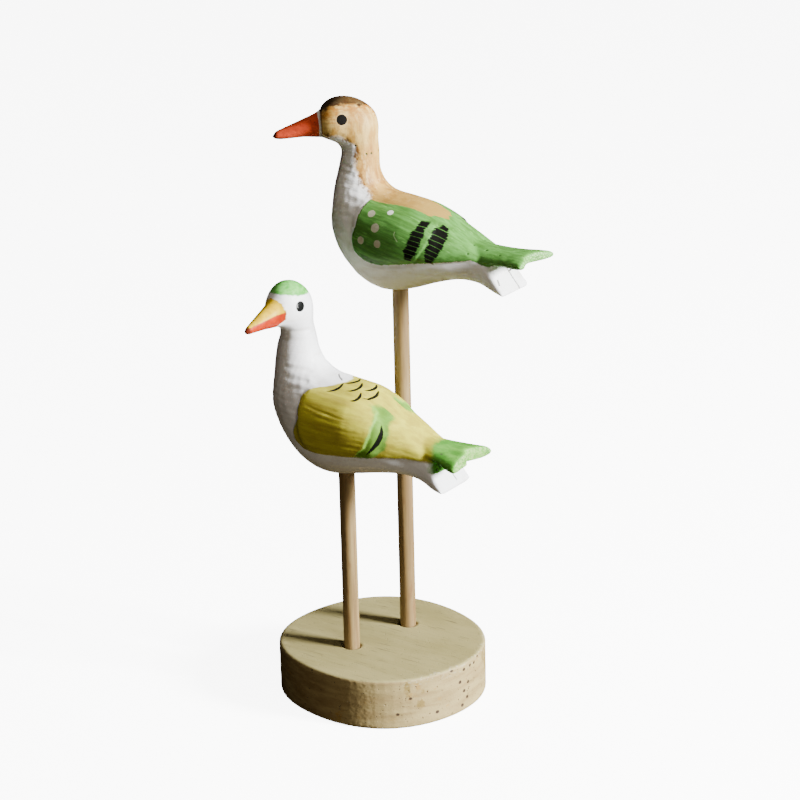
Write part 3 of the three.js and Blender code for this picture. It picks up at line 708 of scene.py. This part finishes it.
def combed(made, place, name, slant, low, high, widest):
    """A stack of slanting dashes round the line where the named measure is 0"""
    off = border(made, name)
    tall = add(made, "ShaderNodeSeparateXYZ", [(0, place)]).outputs[2]
    leaning = math_of(made, "MULTIPLY_ADD", off, slant, tall)
    count = math_of(made, "DIVIDE", leaning, DASH_MM)
    dash = math_of(made, "FLOOR", count)
    within = math_of(made, "FRACT", count)
    gap = math_of(made, "ABSOLUTE", math_of(made, "ADD", within, -0.5))
    solid = between(made, gap, 0.5, 0.44, 0.3, 1.0)
    luck = add(made, "ShaderNodeTexWhiteNoise", [("W", dash)], noise_dimensions="1D").outputs["Value"]
    reach = math_of(made, "MULTIPLY_ADD", luck, 0.7, widest - 0.5)
    from_middle = math_of(made, "ADD", leaning, -(low + high) / 2)
    from_middle = math_of(made, "ABSOLUTE", math_of(made, "DIVIDE", from_middle, (high - low) / 2))
    ends = between(made, from_middle, 1.05, 0.45)
    wide = times(made, reach, math_of(made, "MULTIPLY_ADD", ends, 0.5, 0.5))
    hairs = noise_of(made, place, (0.25, 0.25, 3.0), 3.0, 0.7)
    ragged_end = math_of(made, "MULTIPLY_ADD", hairs, 3.0, -1.5)
    edge = math_of(made, "ADD", math_of(made, "SUBTRACT", wide, math_of(made, "ABSOLUTE", off)), ragged_end)
    inside = between(made, edge, -0.15, 0.25)
    tops = times(made, between(made, leaning, low, low + 0.5),
                 between(made, leaning, high, high - 0.5))
    return times(made, times(made, inside, tops), solid)


bars = math_of(tree, "MAXIMUM", combed(tree, own, "bar_1", 0.2, 18.3, 32.4, 2.6),
               combed(tree, own, "bar_2", 0.43, 17.6, 31.2, 2.7))
colour = tint(tree, colour, "0b0c08", bars)
colour = tint(tree, colour, "1c3310", between(tree, border(tree, "pits"), -0.1, 0.3))
colour = tint(tree, colour, "9dba84", between(tree, border(tree, "scratch"), -0.05, 0.12), 0.8)
colour = tint(tree, colour, "3b3026", between(tree, border(tree, "crack"), 0.1, 0.9), 0.85)

# %% The upper bird's face
lores = ragged(tree, border(tree, "lores"), own, 0.3, 0.2, (1.2, 1.2, 1.2))
colour = tint(tree, colour, "37291a", lores, 0.6)
ring = math_of(tree, "ADD", border(tree, "beak"), 1.15)
colour = tint(tree, colour, "ece8e0", ragged(tree, ring, own, 0.12, 0.16))
red = streaky(tree, own, "b43c20", "c64a28", (0.1, 0.1, 0.5))
colour = coat(tree, colour, red, ragged(tree, border(tree, "beak"), own, 0.06, 0.14))
tip = math_of(tree, "ADD", border(tree, "beak"), -15.9)
colour = tint(tree, colour, "4f1f14", ragged(tree, tip, own, 0.5, 0.5))
halo = math_of(tree, "ADD", border(tree, "eye"), 0.28)
colour = tint(tree, colour, "d4bd94", between(tree, halo, -0.15, 0.15), 0.3)
black_eye = between(tree, border(tree, "eye"), -0.1, 0.1)
colour = tint(tree, colour, "0f0d0a", black_eye)
brush = noise_of(tree, own, (0.08, 0.9, 0.9), 4.0, 0.6)
gloss = between(tree, noise_of(tree, own, (0.2, 0.2, 0.2), 3.0, 0.6), 0.35, 0.65, 0.46, 0.62)
gloss = add(tree, "ShaderNodeMix", [(0, painted), (2, gloss), (3, 0.5)]).outputs[0]
# The black paint shines less than the rest.
flat_black = math_of(tree, "MAXIMUM", bars, black_eye)
shine = between(tree, flat_black, 0.0, 1.0, 0.2, 0.08)
finish_paint(tree, colour, gloss, brush, 0.16, shine)
upper.data.materials.append(satin_upper)
print("upper bird's paint has", len(tree.nodes), "nodes")

# %% The lower bird's paint
satin_lower, tree, own = new_paint("brushed_satin_acrylic_yellow_bird", LOWER["dowel"])
# White all over first, with painted shade under the belly, then yellow over the wings.
white = streaky(tree, own, "d9d7d2", "e9eaea", (0.12, 0.12, 0.3), 0.25, 0.5)
where = add(tree, "ShaderNodeSeparateXYZ", [(0, own)]).outputs
belly_shade = between(tree, where[2], 13.0, 5.0, 0.0, 0.55)
belly_shade = times(tree, belly_shade, between(tree, where[0], 40.0, 28.0))
white = tint(tree, white, "b3a68c", belly_shade)
yellow = streaky(tree, own, "a09532", "b4ae36", (0.05, 0.35, 0.35))
yellow = tint(tree, yellow, "c4c042", patches(tree, own, (0.06, 0.12, 0.25), 4.0, 0.6, 0.5, 0.72))
wing_mask = ragged(tree, border(tree, "wing"), own, 0.35, 0.6, (0.3, 0.5, 0.5))
colour = coat(tree, white, yellow, wing_mask)
# Green makes a thin band behind the short feathers, and covers the wing tips.
green = streaky(tree, own, "417f28", "64a03e", (0.12, 0.3, 0.15))
band_mask = ragged(tree, border(tree, "band"), own, 0.7, 0.8, (0.3, 0.3, 0.5))
colour = coat(tree, colour, green, times(tree, band_mask, 0.85))
speckle = patches(tree, own, (1.2, 1.2, 1.2), 3.0, 0.7, 0.42, 0.6)
ends = times(tree, between(tree, border(tree, "tip_end"), 0.35, 0.7), speckle)
green = tint(tree, green, "94b468", ends, 0.75)
colour = coat(tree, colour, green, ragged(tree, border(tree, "tips"), own, 1.2, 1.8, (0.3, 0.3, 0.3)))
# The black marks: one slash on each wing and the scale marks on the back.
slash = between(tree, border(tree, "slash"), -0.12, 0.16)
scales = between(tree, border(tree, "ink"), -0.1, 0.06)
colour = tint(tree, colour, "11140d", slash)
colour = tint(tree, colour, "12130b", scales)
colour = tint(tree, colour, "4a4038", between(tree, border(tree, "crack"), 0.1, 0.9), 0.75)

# %% The lower bird's face
cap = streaky(tree, own, "409432", "6ab658", (0.35, 0.35, 0.6))
colour = coat(tree, colour, cap, ragged(tree, border(tree, "cap"), own, 0.4, 0.35))
beak = ragged(tree, border(tree, "beak"), own, 0.5, 0.35, (0.6, 0.6, 0.8))
colour = coat(tree, colour, streaky(tree, own, "b89404", "cdab10", (0.4, 0.4, 0.4)), beak)
# The beak's lower half is orange, and brown gathers where the halves meet the face.
under = times(tree, ragged(tree, border(tree, "mouth"), own, 0.2, 0.3), beak)
colour = coat(tree, colour, streaky(tree, own, "8e240a", "a43010", (0.4, 0.4, 0.4)), under)
corner = math_of(tree, "ABSOLUTE", math_of(tree, "ADD", border(tree, "beak"), -0.2))
corner = times(tree, between(tree, corner, 0.4, 0.1), between(tree, border(tree, "mouth"), -1.4, 0.2))
colour = tint(tree, colour, "8c4a28", times(tree, corner, beak), 0.7)
colour = tint(tree, colour, "3a1c12", ragged(tree, border(tree, "beak_tip"), own, 0.5, 0.6), 0.8)
black_eye = between(tree, border(tree, "eye"), -0.1, 0.1)
colour = tint(tree, colour, "0d0e0d", black_eye)
colour = tint(tree, colour, "9a9c98", between(tree, border(tree, "glint"), -0.05, 0.12))
brush = noise_of(tree, own, (0.1, 0.6, 0.6), 4.0, 0.6)
gloss = between(tree, noise_of(tree, own, (0.2, 0.2, 0.2), 3.0, 0.6), 0.35, 0.65, 0.32, 0.46)
gloss = add(tree, "ShaderNodeMix", [(0, wing_mask), (2, gloss), (3, 0.6)]).outputs[0]
# The black paint and the beak shine less than the rest.
flat = math_of(tree, "MAXIMUM", black_eye, slash)
flat = math_of(tree, "MAXIMUM", scales, flat)
flat = math_of(tree, "MAXIMUM", times(tree, beak, 0.8), flat)
shine = between(tree, flat, 0.0, 1.0, 0.2, 0.08)
finish_paint(tree, colour, gloss, brush, 0.12, shine)
lower.data.materials.append(satin_lower)
print("lower bird's paint has", len(tree.nodes), "nodes")

# %% [markdown]
# The dowels are bare wood gone yellow, with a fine straight grain and the odd dark pore. The disc
# is sawn board under one coat of greenish cream; its side took the paint badly, so it is brown
# and streaked, with knots of ochre, dark pits, and one patch where the paint has crawled; towards
# the left the side carries painted shade.

# %% Dowels
def turned_dowel(node_name, piece_name):
    """A round rod as thick and as long as its solid"""
    place = points_of(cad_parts[node_name])
    low, high = place.min(0), place.max(0)
    middle = (low + high) / 2
    radius = (high[0] - low[0]) / 2
    bpy.ops.object.select_all(action="DESELECT")
    bpy.ops.mesh.primitive_cylinder_add(vertices=64, radius=radius * MM, depth=(high[2] - low[2]) * MM,
                                        location=middle * MM)
    piece = bpy.context.object
    piece.name = piece_name
    bpy.ops.object.transform_apply(location=True)
    bpy.ops.object.shade_smooth_by_angle(angle=math.radians(40))
    print(piece_name, "radius", round(radius, 2), "mm, length", round(high[2] - low[2], 1), "mm")
    return piece


tall = turned_dowel("dowel_tall", "tall_dowel")
short = turned_dowel("dowel_short", "short_dowel")

birch, tree, place = new_paint("yellowed_birch_dowel")
wood = streaky(tree, place, "6a532e", "7c653d", (0.9, 0.9, 0.03))
wood = tint(tree, wood, "8b754b", patches(tree, place, (0.35, 0.35, 0.02), 3.0, 0.5, 0.45, 0.7))
stain = patches(tree, place, (0.3, 0.3, 0.07), 4.0, 0.65, 0.56, 0.72)
wood = tint(tree, wood, "6a4826", stain, 0.6)
pore = patches(tree, place, (2.2, 2.2, 0.5), 2.0, 0.6, 0.7, 0.76)
wood = tint(tree, wood, "4a331c", pore, 0.6)
finish_paint(tree, wood, 0.55, noise_of(tree, place, (2.5, 2.5, 0.08), 4.0, 0.6), 0.08)
tall.data.materials.append(birch)
short.data.materials.append(birch)

# %% Disc
disc = fine_copy("disc", "sawn_disc", 0.5, 3)
d = points_of(disc)
d_angle = np.degrees(np.arctan2(d[:, 1], d[:, 0]))
d_radius = np.hypot(d[:, 0], d[:, 1])
d_side = normals_of(disc)[:, 2]
on_rim = ease(0.75 - np.abs(d_side), 0, 0.4)
keep(disc, "rim", on_rim)
RIM_MM = 40
PATCH_ANGLE = -68.5
from_patch = np.abs((d_angle - PATCH_ANGLE + 180) % 360 - 180) * math.radians(1) * RIM_MM
patch = (9.0 - from_patch) / 3.0


def on_side(angle, height):
    """A place on the disc's side from its angle in degrees and its height in mm"""
    return (RIM_MM * math.cos(math.radians(angle)), RIM_MM * math.sin(math.radians(angle)), height)


RIM_PITS = [(8.9, 19.6), (-14.7, 19.6), (0.4, 18.1), (4.6, 18.0), (-5.1, 17.8), (-8.5, 13.2), (-1.5, 11.6),
            (-5.1, 8.7), (-2.4, 5.4), (-6.8, 3.0), (-40.8, 12.4), (-48.0, 6.3), (-25.0, 4.4)]
spots = [on_side(angle, height) for angle, height in RIM_PITS]
d_pits = np.max([0.9 - np.linalg.norm((d - c) * [0.8, 0.8, 1.0], axis=1) for c in spots], axis=0)
keep(disc, "pits", np.where(on_rim > 0.3, d_pits, -2))
# Each stain has an angle, a height, and half its width and height.
STAINS = [(17.0, 17.2, 1.8, 2.4), (-42.5, 17.4, 1.3, 3.4), (24.0, 13.5, 2.6, 4.4),
          (-35.0, 9.4, 1.6, 2.0), (-33.5, 14.6, 1.0, 1.2)]
stains = []
for angle, height, half_wide, half_tall in STAINS:
    x, y, z = d.T - np.array(on_side(angle, height))[:, None]
    stains.append(1 - np.hypot(np.hypot(x, y) / half_wide, z / half_tall))
keep(disc, "stain", np.where(on_rim > 0.3, np.max(stains, axis=0), -2))
# How far round the side faces the camera's left, away from the light, for the painted shade there.
keep(disc, "left_side", (np.cos(np.radians(d_angle - 215)) - 0.35) * 20)
chips = ease(d[:, 2], 16.5, 18.5) * ease(d_radius, 38.0, 39.0)
chips = chips * ease(np.cos(np.radians(d_angle - 5)), 0.55, 0.8)
keep(disc, "chips", chips)
rough = waver(d, 0.7, 2) + 0.5 * waver(d, 1.5, 4)
saw = waver(np.stack([d[:, 0] * 0.12, d[:, 1] * 0.12, d[:, 2]], axis=1), 2.6, 9)
crawl = ease(patch, 0, 1.5) * on_rim * ease(d_radius, 30, 34)
press(disc, on_rim * ease(d_radius, 30, 34) * (0.05 * saw) + 0.045 * crawl * rough)
print("disc, share of points on its side:", round(float((on_rim > 0.5).mean()), 2))

# %% Disc's paint
worn, tree, place = new_paint("worn_cream_emulsion_on_board")
top_coat = streaky(tree, place, "847a4a", "958b5a", (0.03, 0.09, 0.03), 0.3, 0.7)
scratch = patches(tree, place, (0.1, 1.5, 0.5), 3.0, 0.55, 0.63, 0.67)
top_coat = tint(tree, top_coat, "474026", scratch, 0.6)
side_coat = streaky(tree, place, "8a764a", "9c8a5a", (0.05, 0.05, 0.3), 0.35, 0.62)
ochre = patches(tree, place, (0.1, 0.1, 0.16), 4.0, 0.65, 0.58, 0.7)
side_coat = tint(tree, side_coat, "96742e", ochre, 0.7)
fleck = patches(tree, place, (0.9, 0.9, 0.9), 2.0, 0.5, 0.67, 0.72)
side_coat = tint(tree, side_coat, "3c2c14", fleck, 0.85)
side_coat = tint(tree, side_coat, "6e5a1c", ragged(tree, border(tree, "stain"), place, 0.5, 0.35), 0.7)
# Painted shade: the side turns darker brown, in streaky patches, towards the camera's left, away from the
# light.
shade_to_left = times(tree, between(tree, border(tree, "left_side"), 0.0, 8.0),
               patches(tree, place, (0.08, 0.08, 0.3), 4.0, 0.65, 0.35, 0.65))
side_coat = tint(tree, side_coat, "6c5328", shade_to_left, 0.7)
colour = coat(tree, top_coat, side_coat, border(tree, "rim"))
chip = times(tree, border(tree, "chips"), patches(tree, place, (0.7, 0.7, 1.1), 3.0, 0.6, 0.56, 0.61))
colour = tint(tree, colour, "a59c7c", chip, 0.7)
colour = tint(tree, colour, "33230f", between(tree, border(tree, "pits"), -0.05, 0.25))
grain = noise_of(tree, place, (0.06, 0.5, 0.5), 4.0, 0.6)
relief = math_of(tree, "ADD", grain, times(tree, fleck, -1.0))
finish_paint(tree, colour, 0.7, relief, 0.15)
disc.data.materials.append(worn)
print("disc's paint has", len(tree.nodes), "nodes")

# %% [markdown]
# Last, each piece is tied to the frame: it rides on the one body and stands for its solid, which is
# hidden.

# %% Tie the pieces to the frame
for piece, node, slot in (
    (upper, "bird_upper", "upper_bird_paint"),
    (lower, "bird_lower", "lower_bird_paint"),
    (tall, "dowel_tall", "dowel_wood"),
    (short, "dowel_short", "dowel_wood"),
    (disc, "disc", "disc_paint"),
):
    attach(piece, "root")
    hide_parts(node)
    print(piece.name, len(piece.data.polygons), "faces")
